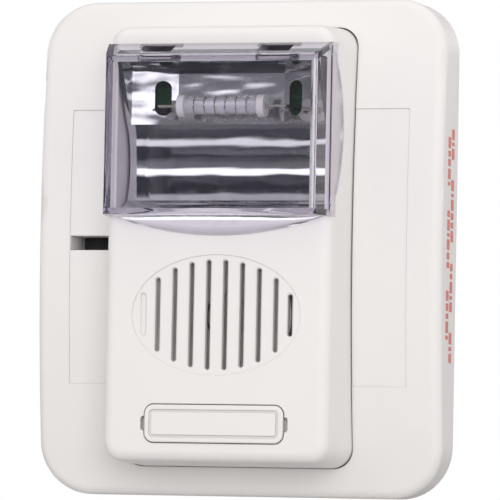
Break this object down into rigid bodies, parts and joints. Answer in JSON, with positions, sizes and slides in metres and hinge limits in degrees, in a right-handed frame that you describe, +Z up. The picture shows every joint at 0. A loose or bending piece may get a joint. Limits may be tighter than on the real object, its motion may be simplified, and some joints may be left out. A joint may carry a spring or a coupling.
{
  "type": "horn strobe",
  "caption": "Wall-mounted fire alarm sounder and strobe: white frame, raised housing with a clear lens over a flash tube, and a slotted horn grille.",
  "frame": {"origin": "centre of the mounting plate's rear face, on the wall", "axes": "+Z up the wall, -Y out of the wall towards the room, +X to the right seen from the front"},
  "size_m": [0.116, 0.044, 0.137],
  "materials": {
    "white_abs": "satin, warm white",
    "white_plate": "matt, plain moulding",
    "black_plastic": "matt black",
    "clear_lens": "clear polycarbonate with a faint violet tint",
    "reflector_metal": "vacuum metallised plastic",
    "tube_glass": "clear",
    "electrode_metal": "bare",
    "tube_rubber": "white silicone",
    "trigger_nickel": "bare wire",
    "lead_tinned": "tinned and gilt wire",
    "board_green": "solder mask over glass fibre",
    "capacitor_sleeve": "shrink sleeve",
    "ferrite": "sintered ferrite",
    "copper_wire": "enamelled copper",
    "epoxy_black": "moulded epoxy",
    "film_yellow": "film box",
    "small_ceramic": "ceramic chips",
    "terminal_green": "moulded block",
    "terminal_tin": "tin plate",
    "zinc_steel": "zinc plate",
    "brass": "bare",
    "piezo_brass": "thin sheet",
    "piezo_ceramic": "silvered ceramic",
    "sounder_plastic": "moulded",
    "foam_gasket": "closed-cell foam",
    "actuator_white": "moulded",
    "label_paper": "blank satin label"
  },
  "bodies": {
    "mounting_plate": {"mounting_plate": "white_plate", "lock_insert": "brass"},
    "unit": {"rear_housing": "white_plate", "outer_cover": "white_abs", "front_housing": "white_abs", "lens": "clear_lens", "reflector": "reflector_metal", "flash_tube": "tube_glass", "tube_electrodes": "electrode_metal", "tube_supports": "tube_rubber", "trigger_wire": "trigger_nickel", "tube_leads": "lead_tinned", "circuit_board": "board_green", "flash_capacitor": "capacitor_sleeve", "inductor_core": "ferrite", "inductor_winding": "copper_wire", "trigger_transformer": "epoxy_black", "power_transistor": "epoxy_black", "film_capacitor": "film_yellow", "controller_chip": "epoxy_black", "chip_parts": "small_ceramic", "terminal_block": "terminal_green", "terminal_contacts": "terminal_tin", "mode_switch_body": "black_plastic", "sounder_cup": "sounder_plastic", "piezo_leads": "copper_wire", "sounder_ring": "sounder_plastic", "horn_throat": "sounder_plastic", "sounder_gasket": "foam_gasket", "housing_screws": "zinc_steel", "cover_screws": "zinc_steel", "board_screws": "zinc_steel", "rating_label": "label_paper"},
    "diaphragm": {"diaphragm": "piezo_brass", "piezo_ceramic": "piezo_ceramic"},
    "lock_clip": {"lock_screw_clip": "zinc_steel"},
    "lock_screw": {"lock_screw": "zinc_steel"},
    "candela_slider": {"candela_slider": "black_plastic", "candela_wiper": "terminal_tin"},
    "volume_actuator": {"volume_actuator": "actuator_white"},
    "tone_actuator": {"tone_actuator": "actuator_white"},
    "badge": {"badge": "white_abs"},
    "wire_clamp_1": {"wire_clamp_1": "zinc_steel"},
    "terminal_screw_1": {"terminal_screw_1": "zinc_steel"},
    "wire_clamp_2": {"wire_clamp_2": "zinc_steel"},
    "terminal_screw_2": {"terminal_screw_2": "zinc_steel"},
    "wire_clamp_3": {"wire_clamp_3": "zinc_steel"},
    "terminal_screw_3": {"terminal_screw_3": "zinc_steel"},
    "wire_clamp_4": {"wire_clamp_4": "zinc_steel"},
    "terminal_screw_4": {"terminal_screw_4": "zinc_steel"}
  },
  "joints": [
    {"name": "unit_release", "type": "slide", "parent": "mounting_plate", "child": "unit", "axis": [0, -1, 0], "range_m": [0, 0.035]},
    {"name": "lock_screw_travel", "type": "slide", "parent": "unit", "child": "lock_clip", "axis": [0, -1, 0], "range_m": [0, 0.007]},
    {"name": "lock_screw_turn", "type": "hinge", "parent": "lock_clip", "child": "lock_screw", "pos_m": [0, -0.02, -0.0491], "axis": [0, -1, 0], "range_deg": [0, 3174]},
    {"name": "candela_select", "type": "slide", "parent": "unit", "child": "candela_slider", "axis": [0, 0, -1], "range_m": [0, 0.015]},
    {"name": "volume_select", "type": "slide", "parent": "unit", "child": "volume_actuator", "axis": [0, 0, -1], "range_m": [0, 0.002]},
    {"name": "tone_select", "type": "slide", "parent": "unit", "child": "tone_actuator", "axis": [0, 0, -1], "range_m": [0, 0.002]},
    {"name": "badge_unclip", "type": "slide", "parent": "unit", "child": "badge", "axis": [0, -1, 0], "range_m": [0, 0.008]},
    {"name": "diaphragm_stroke", "type": "slide", "parent": "unit", "child": "diaphragm", "axis": [0, -1, 0], "range_m": [-0.0001, 0.0001]},
    {"name": "wire_clamp_1_travel", "type": "slide", "parent": "unit", "child": "wire_clamp_1", "axis": [0, 1, 0], "range_m": [0, 0.002]},
    {"name": "terminal_screw_1_turn", "type": "hinge", "parent": "wire_clamp_1", "child": "terminal_screw_1", "pos_m": [-0.0034, -0.005, -0.0265], "axis": [0, 1, 0], "range_deg": [0, 907]},
    {"name": "wire_clamp_2_travel", "type": "slide", "parent": "unit", "child": "wire_clamp_2", "axis": [0, 1, 0], "range_m": [0, 0.002]},
    {"name": "terminal_screw_2_turn", "type": "hinge", "parent": "wire_clamp_2", "child": "terminal_screw_2", "pos_m": [0.0042, -0.005, -0.0265], "axis": [0, 1, 0], "range_deg": [0, 907]},
    {"name": "wire_clamp_3_travel", "type": "slide", "parent": "unit", "child": "wire_clamp_3", "axis": [0, 1, 0], "range_m": [0, 0.002]},
    {"name": "terminal_screw_3_turn", "type": "hinge", "parent": "wire_clamp_3", "child": "terminal_screw_3", "pos_m": [0.0118, -0.005, -0.0265], "axis": [0, 1, 0], "range_deg": [0, 907]},
    {"name": "wire_clamp_4_travel", "type": "slide", "parent": "unit", "child": "wire_clamp_4", "axis": [0, 1, 0], "range_m": [0, 0.002]},
    {"name": "terminal_screw_4_turn", "type": "hinge", "parent": "wire_clamp_4", "child": "terminal_screw_4", "pos_m": [0.0194, -0.005, -0.0265], "axis": [0, 1, 0], "range_deg": [0, 907]}
  ],
  "couplings": [
    {"joint": "lock_screw_turn", "follows": "lock_screw_travel", "rad_per_m": 7913.3},
    {"joint": "terminal_screw_1_turn", "follows": "wire_clamp_1_travel", "rad_per_m": 7913.3},
    {"joint": "terminal_screw_2_turn", "follows": "wire_clamp_2_travel", "rad_per_m": 7913.3},
    {"joint": "terminal_screw_3_turn", "follows": "wire_clamp_3_travel", "rad_per_m": 7913.3},
    {"joint": "terminal_screw_4_turn", "follows": "wire_clamp_4_travel", "rad_per_m": 7913.3}
  ]
}
